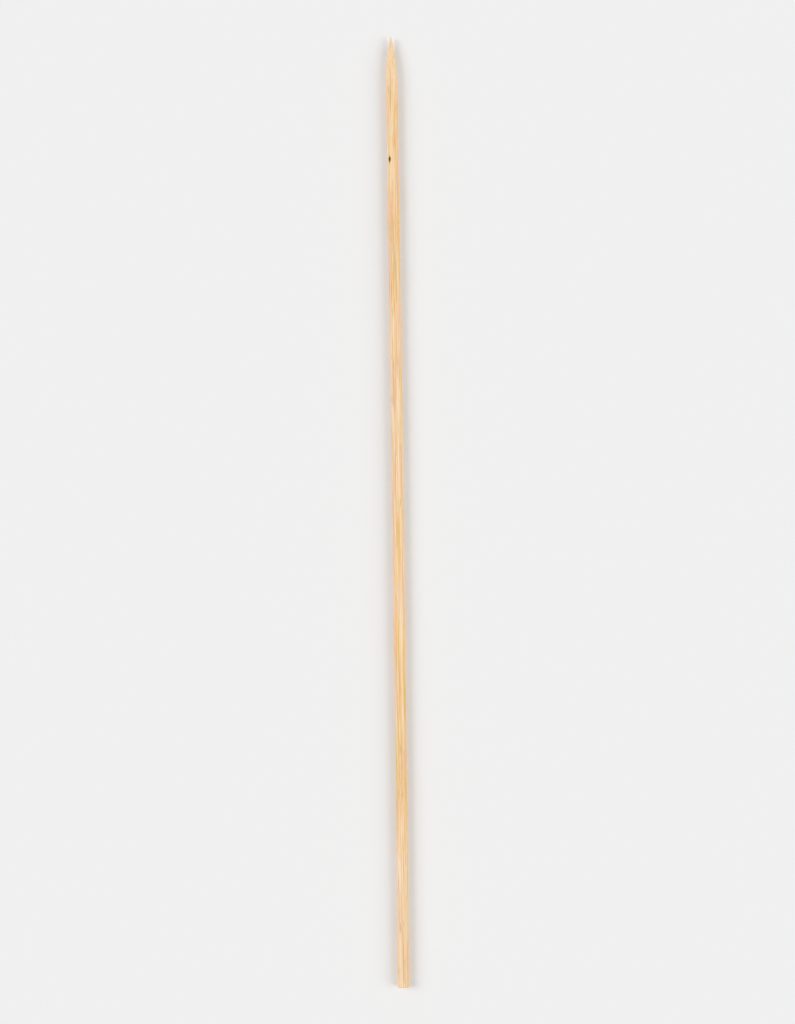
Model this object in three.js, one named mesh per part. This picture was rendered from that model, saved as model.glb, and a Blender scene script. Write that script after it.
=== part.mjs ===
// A bamboo skewer: one round stick, ground to a point at one end and sawn off square at the other.
// Millimetres, +Z up. The stick lies along Y with its point towards +Y, and rests on one of the two
// narrow flats that run along it. The origin is on the surface below the middle of its length.

import * as THREE from "three";

// Driving dimensions
const LENGTH = 250; // from the sawn butt to the very point
const DIAMETER = 3; // across the round sides
const FLAT_HALF_ANGLE = 18; // degrees of the round on each side of a flat's middle that the flat takes away
const POINT_LENGTH = 14; // the ground part, from its shoulder to the very point
const POINT_FULLNESS = 2.5; // 1 would be a straight cone, and more makes its sides swell
const POINT_WORN_OFF = 0.5; // how much shorter the point is than a needle-sharp one
const POINT_CROWN = 0.12; // height of the blunted top of the worn point
const BUTT_EDGE = 0.1; // the rim of the sawn end, broken at 45 degrees
const BOW = 0.25; // how far the middle stands aside from a straight line between the two ends

// How finely the round is divided. The flats' corners fall on facet edges.
const FACET_ANGLE = 9; // degrees, half of FLAT_HALF_ANGLE
const SHANK_STEPS = 24;
const POINT_STEPS = 14;
const POINT_STEP_GROWTH = 1.6; // each step down the point is longer than the one before it

const RADIUS = DIAMETER / 2;
const HALF_THICKNESS = RADIUS * Math.cos(THREE.MathUtils.degToRad(FLAT_HALF_ANGLE)); // across the flats
const BUTT_Y = -LENGTH / 2;
const POINT_Y = LENGTH / 2;

// Radius of the ground point at a distance down from its very top. The grinding wheel leaves swelling
// sides that run smoothly into the shank.
function pointRadius(down) {
  const share = (down + POINT_WORN_OFF) / (POINT_LENGTH + POINT_WORN_OFF);
  return RADIUS * (1 - Math.pow(1 - share, POINT_FULLNESS));
}

// Half of the stick's outline, from the middle of the butt to the point, as radius and place along Y.
function outline() {
  const points = [new THREE.Vector2(0, BUTT_Y), new THREE.Vector2(RADIUS - BUTT_EDGE, BUTT_Y)];
  const shankStart = BUTT_Y + BUTT_EDGE;
  const shankEnd = POINT_Y - POINT_LENGTH;
  for (let step = 0; step <= SHANK_STEPS; step++) {
    points.push(new THREE.Vector2(RADIUS, THREE.MathUtils.lerp(shankStart, shankEnd, step / SHANK_STEPS)));
  }
  for (let step = POINT_STEPS - 1; step >= 0; step--) {
    const share = Math.pow(step / POINT_STEPS, POINT_STEP_GROWTH);
    const down = THREE.MathUtils.lerp(POINT_CROWN, POINT_LENGTH, share);
    points.push(new THREE.Vector2(pointRadius(down), POINT_Y - down));
  }
  points.push(new THREE.Vector2(0, POINT_Y));
  return points;
}

// Sideways place of the stick's middle line. The bow lies flat on the surface, so the stick doesn't rock.
function bowAt(y) {
  const share = y / (LENGTH / 2);
  return BOW * (0.5 - share * share);
}

// The whole stick. It is turned round and straight, then the two flats are pressed in where it broke
// from its neighbours in the cutter, and it takes its bow.
function stickGeometry() {
  const geometry = new THREE.LatheGeometry(outline(), 360 / FACET_ANGLE);
  const position = geometry.getAttribute("position");
  for (let i = 0; i < position.count; i++) {
    const y = position.getY(i);
    position.setX(i, position.getX(i) + bowAt(y));
    position.setZ(i, THREE.MathUtils.clamp(position.getZ(i), -HALF_THICKNESS, HALF_THICKNESS));
  }
  geometry.computeVertexNormals();
  return geometry;
}

// Dry bamboo, pale straw in colour and matt.
function bamboo() {
  return new THREE.MeshStandardMaterial({ color: 0xefcc9f, roughness: 0.6, metalness: 0 });
}

const skewer = new THREE.Mesh(stickGeometry(), bamboo());
skewer.name = "skewer";
skewer.position.z = HALF_THICKNESS;

const part = new THREE.Group();
part.add(skewer);

export default part;
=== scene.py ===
import math

import bmesh
import bpy
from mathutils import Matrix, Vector, noise


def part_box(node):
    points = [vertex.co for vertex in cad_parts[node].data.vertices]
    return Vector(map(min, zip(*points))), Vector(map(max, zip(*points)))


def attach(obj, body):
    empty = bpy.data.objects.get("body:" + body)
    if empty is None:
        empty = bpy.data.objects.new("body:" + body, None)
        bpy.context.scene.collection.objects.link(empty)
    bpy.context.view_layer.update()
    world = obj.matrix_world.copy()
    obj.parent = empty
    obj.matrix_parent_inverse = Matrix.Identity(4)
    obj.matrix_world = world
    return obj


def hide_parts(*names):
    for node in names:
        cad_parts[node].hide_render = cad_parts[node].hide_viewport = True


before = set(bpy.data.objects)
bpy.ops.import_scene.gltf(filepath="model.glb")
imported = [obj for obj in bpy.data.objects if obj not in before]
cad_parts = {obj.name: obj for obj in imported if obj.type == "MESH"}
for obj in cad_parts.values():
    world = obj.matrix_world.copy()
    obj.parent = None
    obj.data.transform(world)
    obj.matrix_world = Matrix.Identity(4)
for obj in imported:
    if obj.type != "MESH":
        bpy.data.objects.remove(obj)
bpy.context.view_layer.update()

# The camera
# It looks straight down on the stick from above its middle, with the point at the top of the picture.
# The stick leans a little to the left there, and fills most of the picture's height.
MM = 0.001
SENSOR = 36 * MM  # the picture's long side, which is its height
LENS = 85 * MM
HEIGHT_FILLED = 0.93  # share of the picture's height that the stick takes
LEAN = math.radians(0.77)

low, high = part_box("skewer")
length = high.y - low.y
thickness = high.z - low.z
camera_height = high.z + length / HEIGHT_FILLED * LENS / SENSOR

camera_data = bpy.data.cameras.new("camera")
camera_data.sensor_fit = "AUTO"
camera_data.sensor_width = SENSOR / MM
camera_data.lens = LENS / MM
camera_data.clip_start = 0.01
camera_data.clip_end = 100
camera = bpy.data.objects.new("camera", camera_data)
camera.location = (0, 0, camera_height)
camera.rotation_euler = (0, 0, -LEAN)
bpy.context.scene.collection.objects.link(camera)
bpy.context.scene.camera = camera

# The stick's turned blank
# A strip of dry bamboo is pushed through a pair of half-round knives, which leave a round stick. One end
# is ground to a swelling point on a turning wheel, and the other is sawn off square.
FLAT_HALF_ANGLE = math.radians(18)  # what a flat takes from the round, on each side of the flat's middle
POINT_LENGTH = 14 * MM
POINT_FULLNESS = 2.5  # 1 would be a straight cone, and more makes its sides swell
POINT_WORN_OFF = 0.5 * MM  # how much shorter the point is than a needle-sharp one
POINT_CROWN = 0.12 * MM  # height of the rounded top of the worn point
BUTT_EDGE = 0.1 * MM  # the rim of the sawn end, broken at 45 degrees
SIDES = 144
SHANK_RINGS = 556
POINT_RINGS = 80
POINT_RING_GROWTH = 1.3  # each ring down the point stands further from the one before it
CROWN_RINGS = 5
BUTT_RINGS = 11
SAME_PLACE = 0.0001 * MM  # vertices closer than this are one

half_thickness = thickness / 2
radius = half_thickness / math.cos(FLAT_HALF_ANGLE)
butt_y = low.y
point_y = high.y
shoulder_y = point_y - POINT_LENGTH


def point_radius(down):
    """Radius of the ground point at a distance down from its very top."""
    share = (down + POINT_WORN_OFF) / (POINT_LENGTH + POINT_WORN_OFF)
    return radius * (1 - (1 - share) ** POINT_FULLNESS)


def draw_to(blank, start, x, y, rings=1):
    """Draws the outline on from one vertex to a new place, in as many equal steps as it has rings."""
    first = start.co.copy()
    for ring in range(1, rings + 1):
        step = blank.verts.new(first.lerp(Vector((x, y, 0)), ring / rings))
        blank.edges.new((start, step))
        start = step
    return start


blank = bmesh.new()
pen = blank.verts.new((0, butt_y, 0))
pen = draw_to(blank, pen, radius - BUTT_EDGE, butt_y, BUTT_RINGS)
pen = draw_to(blank, pen, radius, butt_y + BUTT_EDGE)
pen = draw_to(blank, pen, radius, shoulder_y, SHANK_RINGS)
for ring in range(POINT_RINGS - 1, -1, -1):
    share = (ring / POINT_RINGS) ** POINT_RING_GROWTH
    down = POINT_CROWN + (POINT_LENGTH - POINT_CROWN) * share
    pen = draw_to(blank, pen, point_radius(down), point_y - down)
crown_base = point_radius(POINT_CROWN)
a_little = 0.1 * POINT_CROWN
side_slope = math.atan((point_radius(POINT_CROWN + a_little) - crown_base) / a_little)
for ring in range(1, CROWN_RINGS + 1):
    turn = side_slope + (math.pi / 2 - side_slope) * ring / CROWN_RINGS
    across = crown_base * math.cos(turn) / math.cos(side_slope)
    risen = (math.sin(turn) - math.sin(side_slope)) / (1 - math.sin(side_slope))
    pen = draw_to(blank, pen, across, point_y - POINT_CROWN * (1 - risen))
bmesh.ops.spin(
    blank,
    geom=blank.verts[:] + blank.edges[:],
    cent=(0, 0, 0),
    axis=(0, 1, 0),
    angle=math.tau,
    steps=SIDES,
    use_merge=True,
)
bmesh.ops.remove_doubles(blank, verts=blank.verts, dist=SAME_PLACE)

# The stick's worked surface
# The knives leave long fibre ridges and a faint ripple, and now and then pull a fibre out. The two flats
# are torn, as the stick broke from its neighbours in the cutter there. The wheel leaves fine rings.
RIDGE_DEPTH = 0.03 * MM
RIDGE_WIDTH = 0.28 * MM
RIDGE_LENGTH = 22 * MM
RIPPLE_DEPTH = 0.006 * MM
RIPPLE_PITCH = 2.2 * MM
SWELL_DEPTH = 0.03 * MM  # slow change of the stick's thickness along it
SWELL_LENGTH = 38 * MM
PULLED_DEPTH = 0.09 * MM
PULLED_WIDTH = 0.2 * MM
PULLED_LENGTH = 9 * MM
PULLED_FROM = 0.48  # only noise above this pulls a fibre out
TORN_DEPTH = 0.09 * MM
TORN_WIDTH = 0.15 * MM
TORN_LENGTH = 5 * MM
FLAT_WANDER = 0.035 * MM  # how much deeper a flat goes here and there, which makes it wider
FLAT_WANDER_LENGTH = 26 * MM
WHEEL_RING_DEPTH = 0.012 * MM
WHEEL_RING_PITCH = 0.5 * MM
WHEEL_RING_REACH = 3 * MM  # how far round the point a ring runs before it fades into others
WHEEL_WAVER = 0.03 * MM  # how far the ground sides depart from true, always inwards
WHEEL_WAVER_WIDTH = 1.2 * MM
WHEEL_WAVER_LENGTH = 3 * MM
WHEEL_BEGINS = 1 * MM  # before the shoulder, where the wheel takes over from the knives
WHEEL_FULL = 2 * MM  # past the shoulder, where little of the knives' work is left
RIDGE_LEFT = 0.3  # share of the ridges' depth that is left on the point
TIP_LENGTH = 5 * MM  # the point's last stretch, which the wheel leaves smoother towards its end
TIP_SMOOTHED = 0.8
DEEPEST_CUT = 0.2  # share of the radius that a cut never passes, which matters near the tip
SAW_DEPTH = 0.05 * MM
SAW_GRAIN = 0.22 * MM
SAW_LINE_DEPTH = 0.012 * MM
SAW_LINE_PITCH = 0.4 * MM
SAW_REACH = 2.5 * BUTT_EDGE  # how far from the end its unevenness fades out on the sides
CHIP_DEPTH = 0.07 * MM
CHIP_WIDTH = 0.35 * MM
CHIP_REACH = 3 * BUTT_EDGE  # from the rim towards the middle
SPECK_FROM_POINT = 32.3 * MM  # a dark pit in the stick's left shoulder, seen from above
SPECK_ASIDE = -0.85 * MM
PIT_DEPTH = 0.06 * MM
PIT_HALF_WIDTH = 0.32 * MM
PIT_HALF_LENGTH = 0.6 * MM
BOW = 0.25 * MM  # how far the middle stands aside from a straight line between the two ends
NOISE_SPREAD = 1.4  # stretches the noise so that it fills its whole range
SHARP_EDGE = math.radians(38)  # faces that meet at more than this keep a sharp edge


def smooth(low_edge, high_edge, value):
    """0 below the low edge, 1 above the high one, and a soft step between them."""
    share = min(1, max(0, (value - low_edge) / (high_edge - low_edge)))
    return share * share * (3 - 2 * share)


def fibre_noise(place, width, long, seed):
    """Noise from 0 to 1 that is drawn out along the fibres."""
    sample = Vector((place.x / width, place.y / long, place.z / width + seed))
    return 0.5 + 0.5 * max(-1, min(1, NOISE_SPREAD * noise.noise(sample)))


def slow_noise(y, long, seed):
    """Noise from 0 to 1 that changes only along the stick."""
    return 0.5 + 0.5 * noise.noise(Vector((seed, y / long, 0.5)))


def pit(place):
    """How deep the small dark pit is at this place."""
    aside = (place.x - SPECK_ASIDE) / PIT_HALF_WIDTH
    along = (place.y - (point_y - SPECK_FROM_POINT)) / PIT_HALF_LENGTH
    return PIT_DEPTH * smooth(1, 0.2, math.hypot(aside, along)) * (place.z > 0)


def cut_round(place):
    """How deep the knives and the wheel have gone below the true round at this place."""
    ground = smooth(shoulder_y - WHEEL_BEGINS, shoulder_y + WHEEL_FULL, place.y)
    tip = smooth(point_y - TIP_LENGTH, point_y, place.y)
    ridge = fibre_noise(place, RIDGE_WIDTH, RIDGE_LENGTH, 3) ** 2
    ripple = 0.5 + 0.5 * math.sin(math.tau * place.y / RIPPLE_PITCH)
    swell = slow_noise(place.y, SWELL_LENGTH, 11)
    sample = Vector((place.x / PULLED_WIDTH, place.y / PULLED_LENGTH, place.z / PULLED_WIDTH + 40))
    pulled = smooth(PULLED_FROM, 1, noise.noise(sample))
    knives = RIDGE_DEPTH * ridge + RIPPLE_DEPTH * ripple + SWELL_DEPTH * swell + PULLED_DEPTH * pulled
    ring = fibre_noise(place, WHEEL_RING_REACH, WHEEL_RING_PITCH, 7)
    waver = fibre_noise(place, WHEEL_WAVER_WIDTH, WHEEL_WAVER_LENGTH, 21)
    wheel = WHEEL_RING_DEPTH * ring + WHEEL_WAVER * waver + RIDGE_LEFT * RIDGE_DEPTH * ridge
    return knives * (1 - ground) + wheel * ground * (1 - TIP_SMOOTHED * tip) + pit(place)


def bow_at(y):
    """How far the stick's middle stands aside at this place along it."""
    share = y / (length / 2)
    return BOW * (0.5 - share * share)


def torn_flat(place, side):
    """How far from the middle plane the torn flat lies at this place."""
    wander = FLAT_WANDER * slow_noise(place.y, FLAT_WANDER_LENGTH, 60 + 5 * side)
    torn = TORN_DEPTH * fibre_noise(place, TORN_WIDTH, TORN_LENGTH, 70 + 5 * side) ** 3
    return half_thickness - wander - torn


def sawn_end(place):
    """How far the sawn face lies inside the true end at this place."""
    grain = SAW_DEPTH * fibre_noise(place, SAW_GRAIN, SAW_GRAIN, 90) ** 2
    line = SAW_LINE_DEPTH * (0.5 + 0.5 * math.sin(math.tau * (place.x + 0.2 * place.z) / SAW_LINE_PITCH))
    from_middle = math.hypot(place.x, place.z)
    rim = smooth(radius - CHIP_REACH, radius, from_middle)
    chip = CHIP_DEPTH * rim * smooth(0.5, 1, fibre_noise(place, CHIP_WIDTH, CHIP_WIDTH, 95))
    return grain + line + chip


top_of_tip = 0.3 * point_radius(0)  # the worn top this near the middle is left uncut
for vertex in blank.verts:
    place = vertex.co.copy()
    from_middle = math.hypot(place.x, place.z)
    on_butt = place.y < butt_y + 0.5 * BUTT_EDGE
    if from_middle > top_of_tip and not on_butt:
        kept = 1 - min(cut_round(place), DEEPEST_CUT * from_middle) / from_middle
        vertex.co.x = place.x * kept
        vertex.co.z = place.z * kept
    top_flat = torn_flat(place, 1)
    bottom_flat = torn_flat(place, -1)
    vertex.co.z = max(-bottom_flat, min(top_flat, vertex.co.z))
    vertex.co.y += sawn_end(place) * (1 - smooth(0, SAW_REACH, place.y - butt_y))
    vertex.co.x += bow_at(place.y)
    vertex.co.z += half_thickness
bmesh.ops.recalc_face_normals(blank, faces=blank.faces)

stick_mesh = bpy.data.meshes.new("bamboo_stick")
blank.to_mesh(stick_mesh)
blank.free()
stick_mesh.shade_smooth()
stick_mesh.set_sharp_from_angle(angle=SHARP_EDGE)
stick = bpy.data.objects.new("bamboo_stick", stick_mesh)
bpy.context.scene.collection.objects.link(stick)
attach(stick, "root")
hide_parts("skewer")

# The bamboo itself
# Pale straw-coloured ground, with darker strands of fibre that run the whole length. The strands show as
# streaks on the sides, as long Vs on the point and as dots on the sawn end. It is dry and unvarnished.
STRAW = (0.955, 0.725, 0.465, 1)
HONEY = (0.930, 0.550, 0.210, 1)
GOLDEN = (0.950, 0.660, 0.300, 1)
BEIGE = (0.935, 0.675, 0.460, 1)
ROSY = (1.000, 0.585, 0.375, 1)
GRAIN_SLOPE = math.radians(0.16)  # the fibres run out of the stick's sides at this small angle
HONEY_PERIOD = 133 * MM  # from one honey-coloured stretch to the next
HONEY_FROM_POINT = 45 * MM  # middle of the first honey-coloured stretch
HONEY_SWING = 0.08  # how far the honey colour keeps to those stretches, against chance

bamboo = bpy.data.materials.new("bamboo")
bamboo.use_nodes = True
nodes = bamboo.node_tree.nodes
links = bamboo.node_tree.links
shader = nodes["Principled BSDF"]
place_node = nodes.new("ShaderNodeTexCoord")


def along_grain(across, long, middle=(0, 0, 0), turn=GRAIN_SLOPE):
    """Object coordinates scaled so that one unit is this far across the grain and this far along it."""
    mapping = nodes.new("ShaderNodeMapping")
    mapping.vector_type = "TEXTURE"
    mapping.inputs["Location"].default_value = middle
    mapping.inputs["Rotation"].default_value = (0, 0, turn)
    mapping.inputs["Scale"].default_value = (across, long, across)
    links.new(place_node.outputs["Object"], mapping.inputs["Vector"])
    return mapping.outputs["Vector"]


def grain_noise(across, long, detail, middle=(0, 0, 0), turn=GRAIN_SLOPE):
    """Noise drawn out along the grain."""
    texture = nodes.new("ShaderNodeTexNoise")
    texture.inputs["Scale"].default_value = 1
    texture.inputs["Detail"].default_value = detail
    texture.inputs["Roughness"].default_value = 0.55
    links.new(along_grain(across, long, middle, turn), texture.inputs["Vector"])
    return texture.outputs["Fac"]


def soft_step(value, start, end, from_value=0, to_value=1):
    """Turns a value into a mask that rises or falls smoothly between two levels."""
    ramp = nodes.new("ShaderNodeMapRange")
    ramp.interpolation_type = "SMOOTHSTEP"
    ramp.inputs["From Min"].default_value = start
    ramp.inputs["From Max"].default_value = end
    ramp.inputs["To Min"].default_value = from_value
    ramp.inputs["To Max"].default_value = to_value
    links.new(value, ramp.inputs["Value"])
    return ramp.outputs["Result"]


def combine(operation, first, second=0):
    """Works two values, or a value and a number, together."""
    math_node = nodes.new("ShaderNodeMath")
    math_node.operation = operation
    for socket, value in zip(math_node.inputs, (first, second)):
        if isinstance(value, (int, float)):
            socket.default_value = value
        else:
            links.new(value, socket)
    return math_node.outputs["Value"]


def plus(first, second):
    """The sum of two values."""
    return combine("ADD", first, second)


def times(first, second):
    """The product of two values, or a value made stronger or weaker by a number."""
    return combine("MULTIPLY", first, second)


def centred(value):
    """Moves a noise that swings around a half so that it swings around nothing."""
    return combine("SUBTRACT", value, 0.5)


def stain(under, colour, mask, blend_type="MIX"):
    """Lays a colour over another one where the mask says."""
    mix = nodes.new("ShaderNodeMix")
    mix.data_type = "RGBA"
    mix.blend_type = blend_type
    links.new(mask, mix.inputs["Factor"])
    if isinstance(under, tuple):
        mix.inputs["A"].default_value = under
    else:
        links.new(under, mix.inputs["A"])
    mix.inputs["B"].default_value = colour
    return mix.outputs["Result"]


def spot(middle, half_width, half_length, turn=0.0):
    """A mask that is 1 in the middle of one longish mark on the stick and 0 at its edge."""
    ball = nodes.new("ShaderNodeTexGradient")
    ball.gradient_type = "SPHERICAL"
    links.new(along_grain(half_width, half_length, middle, turn), ball.inputs["Vector"])
    return ball.outputs["Fac"]


split = nodes.new("ShaderNodeSeparateXYZ")
links.new(place_node.outputs["Object"], split.inputs["Vector"])
x_place = split.outputs["X"]
y_place = split.outputs["Y"]
z_place = split.outputs["Z"]

# Broad change from straw to honey along the stick, broken up by slow noise, and patches of other tints.
honey_phase = times(combine("SUBTRACT", y_place, point_y - HONEY_FROM_POINT), math.tau / HONEY_PERIOD)
honey_shift = times(combine("COSINE", honey_phase), HONEY_SWING)
honey_noise = grain_noise(1.1 * MM, 15 * MM, 2, middle=(4 * MM, 0, 0))
colour = stain(STRAW, HONEY, soft_step(plus(honey_shift, honey_noise), 0.42, 0.66))
for tint, across, long, shift, level in (
    (GOLDEN, 1.0 * MM, 14 * MM, 5 * MM, 0.46),
    (BEIGE, 1.0 * MM, 16 * MM, 13 * MM, 0.5),
    (ROSY, 1.0 * MM, 17 * MM, 9 * MM, 0.47),
):
    patches = grain_noise(across, long, 2, middle=(0, 0, shift))
    colour = stain(colour, tint, soft_step(patches, level, level + 0.08, 0, 0.85))

# The last stretch before the butt is paler and pinker than the rest.
PALE_PINK = (1.000, 0.680, 0.440, 1)
PINK_BEGINS = 62 * MM  # from the butt
PINK_FULL = 32 * MM
PINK_RAGGED = 30 * MM  # how far the noise moves its edge along the stick
ragged_place = plus(y_place, times(honey_noise, PINK_RAGGED))
near_butt = soft_step(ragged_place, butt_y + PINK_BEGINS, butt_y + PINK_FULL)
colour = stain(colour, PALE_PINK, times(near_butt, 0.7))

# Painted reflected light: a pinker tint towards the left edge and a yellower one towards the right, for
# warm bounced light.
PAINTED_PINK_REFLECTION = (0.960, 0.585, 0.335, 1)
PAINTED_YELLOW_REFLECTION = (0.930, 0.590, 0.270, 1)
painted_left_reflection = soft_step(x_place, -0.35 * radius, -1.0 * radius, 0, 0.55)
painted_right_reflection = soft_step(x_place, 0.3 * radius, 1.0 * radius, 0, 0.5)
colour = stain(colour, PAINTED_PINK_REFLECTION, painted_left_reflection)
colour = stain(colour, PAINTED_YELLOW_REFLECTION, painted_right_reflection)

# The torn flats scatter the light and look a little duller and greyer than the cut sides.
TORN_STRAW = (0.880, 0.645, 0.375, 1)
FLAT_BEGINS = half_thickness - 0.13 * MM  # from the middle plane
FLAT_FULL = half_thickness - 0.03 * MM
from_mid_plane = combine("ABSOLUTE", combine("SUBTRACT", z_place, half_thickness))
flat_band = soft_step(from_mid_plane, FLAT_BEGINS, FLAT_FULL)
flat_fuzz = soft_step(grain_noise(0.3 * MM, 12 * MM, 3, middle=(0, 3 * MM, 0)), 0.35, 0.6)
colour = stain(colour, TORN_STRAW, times(flat_band, flat_fuzz))

# The sawn end drinks the light between its cut fibres, and is a little darker and more even.
END_GRAIN = (0.900, 0.650, 0.385, 1)
END_BEGINS = butt_y + 0.2 * MM
END_FULL = butt_y + 0.08 * MM
on_end = soft_step(y_place, END_BEGINS, END_FULL)
colour = stain(colour, END_GRAIN, times(on_end, 0.92))

# Strands of fibre, each a brown sheath around a pore. They run the whole length and wander a little, they
# stand closer together towards the skin side, and their colour comes and goes.
STRAND = (0.680, 0.400, 0.155, 1)
CUT_STRAND = (0.470, 0.245, 0.090, 1)  # where the saw has cut across it
PORE = (0.230, 0.115, 0.040, 1)
STRAND_SPACING = 0.55 * MM
STRAND_WANDER = 0.9  # in strand spacings, over the next length
WANDER_LENGTH = 70 * MM
SKIN_SIDE_CROWDING = 0.07
SHEATH_EDGE = (0.36, 0.24)  # where it begins and where it is full, in strand spacings from the middle
CUT_STRAND_EDGE = (0.24, 0.12)
PORE_EDGE = (0.1, 0.06)
EDGE_UNEVEN = 0.15  # how far the finest fibres move these edges
strand_place = nodes.new("ShaderNodeSeparateXYZ")
links.new(along_grain(STRAND_SPACING, WANDER_LENGTH), strand_place.inputs["Vector"])
wander = nodes.new("ShaderNodeTexNoise")
wander.noise_dimensions = "1D"
wander.inputs["Scale"].default_value = 1
links.new(strand_place.outputs["Y"], wander.inputs["W"])
wander_parts = nodes.new("ShaderNodeSeparateColor")
links.new(wander.outputs["Color"], wander_parts.inputs["Color"])
aside_x = times(centred(wander_parts.outputs["Red"]), STRAND_WANDER)
aside_z = times(centred(wander_parts.outputs["Green"]), STRAND_WANDER)
strand_x = plus(strand_place.outputs["X"], aside_x)
strand_z = plus(strand_place.outputs["Z"], aside_z)
crowding = times(times(strand_x, strand_x), SKIN_SIDE_CROWDING)
strand_section = nodes.new("ShaderNodeCombineXYZ")
links.new(plus(strand_x, crowding), strand_section.inputs["X"])
links.new(strand_z, strand_section.inputs["Y"])
strands = nodes.new("ShaderNodeTexVoronoi")
strands.voronoi_dimensions = "2D"
strands.inputs["Scale"].default_value = 1
strands.inputs["Randomness"].default_value = 0.75
links.new(strand_section.outputs["Vector"], strands.inputs["Vector"])
fine = grain_noise(0.06 * MM, 9 * MM, 2)
strand_distance = plus(strands.outputs["Distance"], times(centred(fine), EDGE_UNEVEN))
sheath = soft_step(strand_distance, *SHEATH_EDGE)
sheath_depth = soft_step(grain_noise(0.8 * MM, 30 * MM, 2, middle=(0, 0, 6 * MM)), 0.4, 0.6, 0.05, 0.6)
sheath_depth = combine("MAXIMUM", sheath_depth, on_end)
colour = stain(colour, STRAND, times(sheath, sheath_depth))
cut_strand = times(soft_step(strand_distance, *CUT_STRAND_EDGE), on_end)
colour = stain(colour, CUT_STRAND, times(cut_strand, 0.8))
pore = times(soft_step(strand_distance, *PORE_EDGE), combine("MAXIMUM", on_end, 0.3))
colour = stain(colour, PORE, pore)

# Fibres from middling to hair-thin, lighter and darker. The sawn end shows less of them.
CREAM_FIBRE = (1.000, 0.790, 0.555, 1)
OLIVE_FIBRE = (0.760, 0.530, 0.220, 1)
BROWN_HAIR = (0.560, 0.330, 0.120, 1)
middling = grain_noise(0.42 * MM, 20 * MM, 3)
thin = grain_noise(0.2 * MM, 26 * MM, 1, middle=(0, 0, 3 * MM))
hair = grain_noise(0.028 * MM, 16 * MM, 1)
shown = soft_step(on_end, 0, 1, 1, 0.3)
for tone, mask in (
    (CREAM_FIBRE, soft_step(middling, 0.52, 0.62, 0, 0.8)),
    (OLIVE_FIBRE, soft_step(middling, 0.47, 0.36, 0, 0.65)),
    (CREAM_FIBRE, soft_step(thin, 0.56, 0.64, 0, 0.85)),
    (OLIVE_FIBRE, soft_step(thin, 0.43, 0.35, 0, 0.8)),
    (OLIVE_FIBRE, soft_step(fine, 0.5, 0.25, 0, 0.45)),
    (CREAM_FIBRE, soft_step(fine, 0.55, 0.75, 0, 0.6)),
    (BROWN_HAIR, soft_step(hair, 0.62, 0.72, 0, 0.4)),
):
    colour = stain(colour, tone, times(mask, shown))

# Tints drift over all the fibres: pinker in some stretches and more golden in others.
PINKER = (1.000, 0.945, 0.960, 1)
MORE_GOLDEN = (0.990, 0.965, 0.820, 1)
pink_drift = grain_noise(1.3 * MM, 18 * MM, 2, middle=(0, 0, 17 * MM))
golden_drift = plus(grain_noise(1.4 * MM, 18 * MM, 2, middle=(0, 0, 23 * MM)), honey_shift)
for tint, mask in (
    (PINKER, soft_step(pink_drift, 0.46, 0.54)),
    (MORE_GOLDEN, soft_step(golden_drift, 0.46, 0.58)),
):
    colour = stain(colour, tint, times(mask, shown), "MULTIPLY")

# Vessels that the knives have laid open: short fine brown dashes.
VESSEL = (0.400, 0.215, 0.075, 1)
VESSEL_SPACING = 0.42 * MM
VESSEL_PITCH = 9 * MM  # along the grain
VESSEL_EDGE = (0.2, 0.1)  # in shares of the spacing and the pitch
vessels = nodes.new("ShaderNodeTexVoronoi")
vessels.inputs["Scale"].default_value = 1
links.new(along_grain(VESSEL_SPACING, VESSEL_PITCH, (0, 0, 2 * MM)), vessels.inputs["Vector"])
few = nodes.new("ShaderNodeSeparateColor")
links.new(vessels.outputs["Color"], few.inputs["Color"])
laid_open = soft_step(few.outputs["Red"], 0.5, 0.6)
open_vessel = times(soft_step(vessels.outputs["Distance"], *VESSEL_EDGE), laid_open)
colour = stain(colour, VESSEL, times(open_vessel, 0.7))

# The ground point is paler, with fine scratches round it from the wheel.
SCUFFED = (0.975, 0.765, 0.520, 1)
SCUFF_FULL = 5 * MM  # past the shoulder
SCRATCH_TURN = math.radians(9)  # how far the scratches lean from straight round the point
ground = soft_step(y_place, shoulder_y - WHEEL_BEGINS, shoulder_y + SCUFF_FULL)
wheel_scratch = grain_noise(0.9 * MM, 0.055 * MM, 3, turn=SCRATCH_TURN)
scratched = soft_step(grain_noise(0.7 * MM, 1.8 * MM, 2), 0.42, 0.62, 0.15, 1)
scratch = times(soft_step(wheel_scratch, 0.45, 0.65, 0, 0.3), scratched)
colour = stain(colour, SCUFFED, times(ground, plus(scratch, 0.25)))

# This stick's own marks: an orange patch, two olive streaks and a dark speck with frayed ends.
ORANGE = (0.850, 0.490, 0.230, 1)
ORANGE_FROM_POINT = 27.5 * MM
ORANGE_ASIDE = 0.45 * MM
ORANGE_HALF_WIDTH = 0.7 * MM
ORANGE_HALF_LENGTH = 3.2 * MM
OLIVE = (0.560, 0.410, 0.170, 1)
OLIVE_TURN = math.radians(1.2)
OLIVE_HALF_WIDTH = 0.42 * MM
OLIVE_STREAKS = (  # distance from the point, place aside and half length
    (53 * MM, -0.28 * MM, 9 * MM),
    (63 * MM, 0.14 * MM, 11 * MM),
)
SMEAR = (0.460, 0.235, 0.080, 1)
SPECK = (0.210, 0.085, 0.018, 1)
SPECK_HEART = (0.045, 0.018, 0.004, 1)
SPECK_HALF_WIDTH = 0.48 * MM
SPECK_HALF_LENGTH = 1.05 * MM
SMEAR_HALF_WIDTH = 0.42 * MM
SMEAR_HALF_LENGTH = 2.4 * MM
orange_y = point_y - ORANGE_FROM_POINT
orange_middle = (bow_at(orange_y) + ORANGE_ASIDE, orange_y, thickness)
orange = spot(orange_middle, ORANGE_HALF_WIDTH, ORANGE_HALF_LENGTH)
colour = stain(colour, ORANGE, soft_step(orange, 0, 0.6, 0, 0.6))
broken_up = soft_step(middling, 0.36, 0.56, 1, 0.35)
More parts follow.
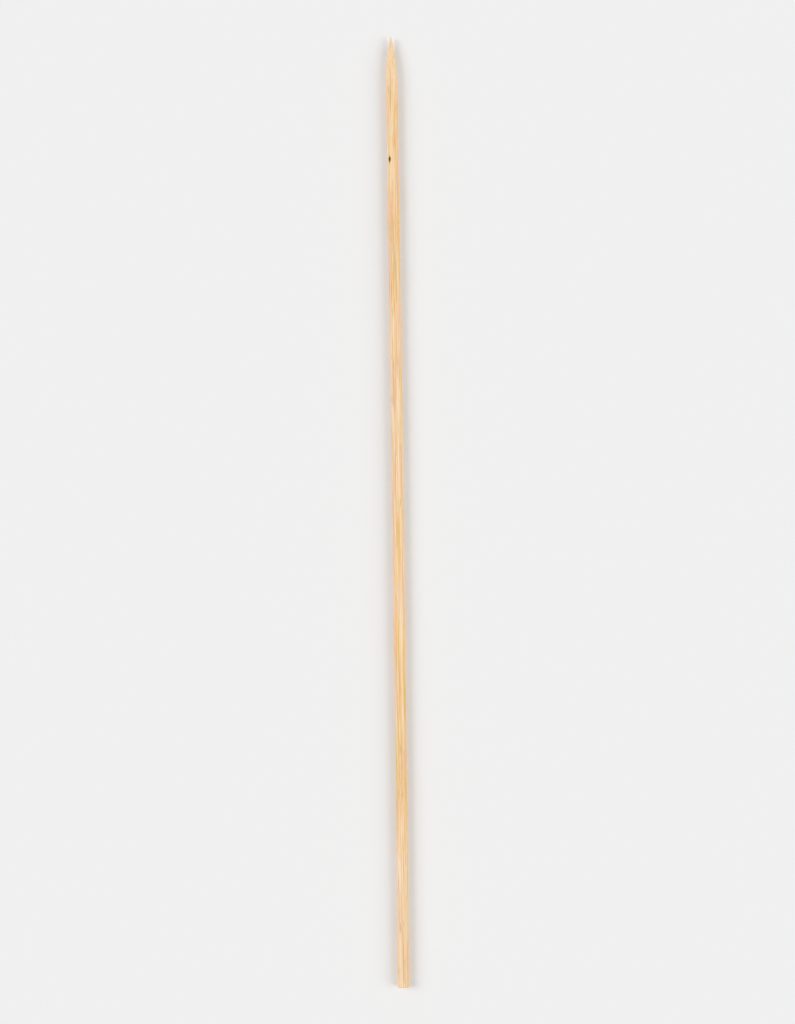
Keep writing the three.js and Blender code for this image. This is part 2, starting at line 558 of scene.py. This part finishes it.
for from_point, aside, half_length in OLIVE_STREAKS:
    streak_y = point_y - from_point
    streak_middle = (bow_at(streak_y) + aside, streak_y, thickness)
    streak = spot(streak_middle, OLIVE_HALF_WIDTH, half_length, OLIVE_TURN)
    colour = stain(colour, OLIVE, times(soft_step(streak, 0, 0.6, 0, 0.85), broken_up))
speck_y = point_y - SPECK_FROM_POINT
speck_z = half_thickness + math.sqrt(radius ** 2 - SPECK_ASIDE ** 2)
speck_middle = (bow_at(speck_y) + SPECK_ASIDE, speck_y, speck_z)
speck = spot(speck_middle, SPECK_HALF_WIDTH, SPECK_HALF_LENGTH)
smear = spot(speck_middle, SMEAR_HALF_WIDTH, SMEAR_HALF_LENGTH)
frayed = centred(grain_noise(0.09 * MM, 1.6 * MM, 2))
ragged_speck = plus(speck, times(frayed, 1.1))
ragged_smear = plus(smear, times(frayed, 1.6))
smeared = times(soft_step(ragged_smear, 0.1, 0.7, 0, 0.7), soft_step(smear, 0, 0.3))
dark_core = times(soft_step(ragged_speck, 0.1, 0.34), soft_step(speck, 0, 0.15))
dark_heart = soft_step(ragged_speck, 0.4, 0.9, 0, 0.85)
colour = stain(colour, SMEAR, smeared)
colour = stain(colour, SPECK, dark_core)
colour = stain(colour, SPECK_HEART, dark_heart)
links.new(colour, shader.inputs["Base Color"])

# Dry and matt, and rougher still on the torn flats and in the speck.
roughness = plus(soft_step(fine, 0.3, 0.7, 0.5, 0.62), times(flat_band, 0.12))
roughness = plus(roughness, times(dark_core, 0.3))
links.new(roughness, shader.inputs["Roughness"])

# The fibres, sheaths, vessels and scratches stand up or lie deep by shares of this small height.
RELIEF = 0.05 * MM
fibre_height = fine
for height, share in (
    (middling, 0.7),
    (hair, 0.35),
    (sheath, 0.25),
    (open_vessel, -0.5),
    (times(wheel_scratch, ground), 0.4),
):
    fibre_height = plus(fibre_height, times(height, share))
bump = nodes.new("ShaderNodeBump")
bump.inputs["Strength"].default_value = 0.8
bump.inputs["Distance"].default_value = RELIEF
links.new(fibre_height, bump.inputs["Height"])
links.new(bump.outputs["Normal"], shader.inputs["Normal"])
stick_mesh.materials.append(bamboo)

# The floor
# A plain pale matt sheet that the stick lies on. It is far larger than the stick, so that its edges are
# never seen, and it keeps the stick's shadow.
FLOOR_HALF_WIDTH = 30
PALE = 0.871  # a grey of 240 of 255 on the screen

floor_shape = bmesh.new()
bmesh.ops.create_grid(floor_shape, x_segments=1, y_segments=1, size=FLOOR_HALF_WIDTH)
floor_mesh = bpy.data.meshes.new("floor")
floor_shape.to_mesh(floor_mesh)
floor_shape.free()
floor_paint = bpy.data.materials.new("floor")
floor_paint.use_nodes = True
floor_shader = floor_paint.node_tree.nodes["Principled BSDF"]
floor_shader.inputs["Base Color"].default_value = (PALE, PALE, PALE, 1)
floor_shader.inputs["Roughness"].default_value = 1
floor_shader.inputs["Specular IOR Level"].default_value = 0
floor_mesh.materials.append(floor_paint)
floor = bpy.data.objects.new("floor", floor_mesh)
bpy.context.scene.collection.objects.link(floor)

# The light
# Two wide soft lamps, the stronger at the left and the weaker at the right, in an evenly lit room. The
# three together light a surface that faces up at a level of 1.
ROOM_LEVEL = 0.47
LAMPS = {
    "key": {"level": 0.28, "from_azimuth": -80, "elevation": 40, "softness": 35},
    "fill": {"level": 0.25, "from_azimuth": 100, "elevation": 38, "softness": 45},
}

for name, lamp in LAMPS.items():
    elevation = math.radians(lamp["elevation"])
    data = bpy.data.lights.new(name, "SUN")
    data.energy = lamp["level"] * math.pi / math.sin(elevation)
    data.angle = math.radians(lamp["softness"])
    sun = bpy.data.objects.new(name, data)
    sun.rotation_euler = (math.pi / 2 - elevation, 0, math.radians(-lamp["from_azimuth"]) + math.pi)
    bpy.context.scene.collection.objects.link(sun)

world = bpy.data.worlds.new("room")
world.use_nodes = True
room = world.node_tree.nodes
room_links = world.node_tree.links
background = room["Background"]
ray = room.new("ShaderNodeLightPath")
seen = room.new("ShaderNodeMix")
seen.data_type = "FLOAT"
seen.inputs["A"].default_value = ROOM_LEVEL
seen.inputs["B"].default_value = PALE
any_seen = ray.outputs["Is Camera Ray"]
for kind in ("Is Glossy Ray", "Is Transmission Ray"):
    either = room.new("ShaderNodeMath")
    either.operation = "MAXIMUM"
    room_links.new(any_seen, either.inputs[0])
    room_links.new(ray.outputs[kind], either.inputs[1])
    any_seen = either.outputs["Value"]
room_links.new(any_seen, seen.inputs["Factor"])
room_links.new(seen.outputs["Result"], background.inputs["Strength"])
bpy.context.scene.world = world
background.inputs["Color"].default_value = (1, 1, 1, 1)
bpy.context.scene.view_settings.view_transform = "Standard"
